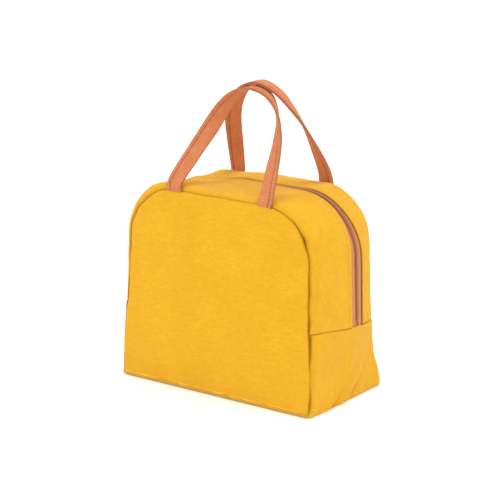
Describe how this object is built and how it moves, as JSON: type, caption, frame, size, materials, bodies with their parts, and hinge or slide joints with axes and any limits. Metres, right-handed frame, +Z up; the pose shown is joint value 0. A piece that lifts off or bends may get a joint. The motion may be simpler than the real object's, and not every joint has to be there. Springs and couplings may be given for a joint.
{
  "type": "insulated lunch bag",
  "caption": "Soft zip-top insulated lunch bag with a domed outline, a gusset with a zip over the top and two webbing carry handles.",
  "frame": {"origin": "centre of the base, on the surface the bag stands on", "axes": "+X to the right along the width, +Y from the front panel to the back panel, +Z up"},
  "size_m": [0.2589, 0.138, 0.3246],
  "materials": {
    "canvas": "matte cotton canvas",
    "foam": "closed-cell foam",
    "foil": "crinkled foil laminate",
    "zip_tape": "woven tape",
    "zip_coil": "nylon coil",
    "zip_metal": "enamelled to match the zip",
    "webbing": "ribbed cotton webbing"
  },
  "bodies": {
    "bag": {"front_panel": "canvas", "back_panel": "canvas", "base_band": "canvas", "front_gusset_left": "canvas", "front_gusset_right": "canvas", "rear_gusset_left": "canvas", "rear_gusset_right": "canvas", "front_foam": "foam", "back_foam": "foam", "base_foam": "foam", "front_foam_left": "foam", "front_foam_right": "foam", "rear_foam_left": "foam", "rear_foam_right": "foam", "front_lining": "foil", "back_lining": "foil", "base_lining": "foil", "front_lining_left": "foil", "front_lining_right": "foil", "rear_lining_left": "foil", "rear_lining_right": "foil", "zip_tape_front_sides": "zip_tape", "zip_tape_rear_sides": "zip_tape", "zip_coil_front_sides": "zip_coil", "zip_coil_rear_sides": "zip_coil", "zip_end_stops": "zip_metal"},
    "front_lid_flap": {"front_lid": "canvas", "front_lid_foam": "foam", "front_lid_lining": "foil", "zip_tape_front_lid": "zip_tape", "zip_coil_front_lid": "zip_coil"},
    "rear_lid_flap": {"rear_lid": "canvas", "rear_lid_foam": "foam", "rear_lid_lining": "foil", "zip_tape_rear_lid": "zip_tape", "zip_coil_rear_lid": "zip_coil"},
    "slider": {"zip_slider": "zip_metal"},
    "tab": {"pull_tab": "zip_metal"},
    "front_grip": {"front_handle": "webbing"},
    "rear_grip": {"rear_handle": "webbing"}
  },
  "joints": [
    {"name": "front_lid_open", "type": "hinge", "parent": "bag", "child": "front_lid_flap", "pos_m": [0, -0.05738, 0.212], "axis": [1, 0, 0], "range_deg": [0, 75]},
    {"name": "rear_lid_open", "type": "hinge", "parent": "bag", "child": "rear_lid_flap", "pos_m": [0, 0.05738, 0.212], "axis": [-1, 0, 0], "range_deg": [0, 75]},
    {"name": "front_handle_swing", "type": "hinge", "parent": "front_lid_flap", "child": "front_grip", "pos_m": [0, -0.05738, 0.21405], "axis": [1, 0, 0], "range_deg": [0, 115]},
    {"name": "rear_handle_swing", "type": "hinge", "parent": "rear_lid_flap", "child": "rear_grip", "pos_m": [0, 0.05738, 0.21405], "axis": [-1, 0, 0], "range_deg": [0, 115]},
    {"name": "slider_run", "type": "slide", "parent": "bag", "child": "slider", "axis": [0, 0, 1], "range_m": [0, 0.057]},
    {"name": "pull_tab_lift", "type": "hinge", "parent": "slider", "child": "tab", "pos_m": [-0.1304, 0.008, 0.092], "axis": [0, 1, 0], "range_deg": [0, 155]}
  ]
}
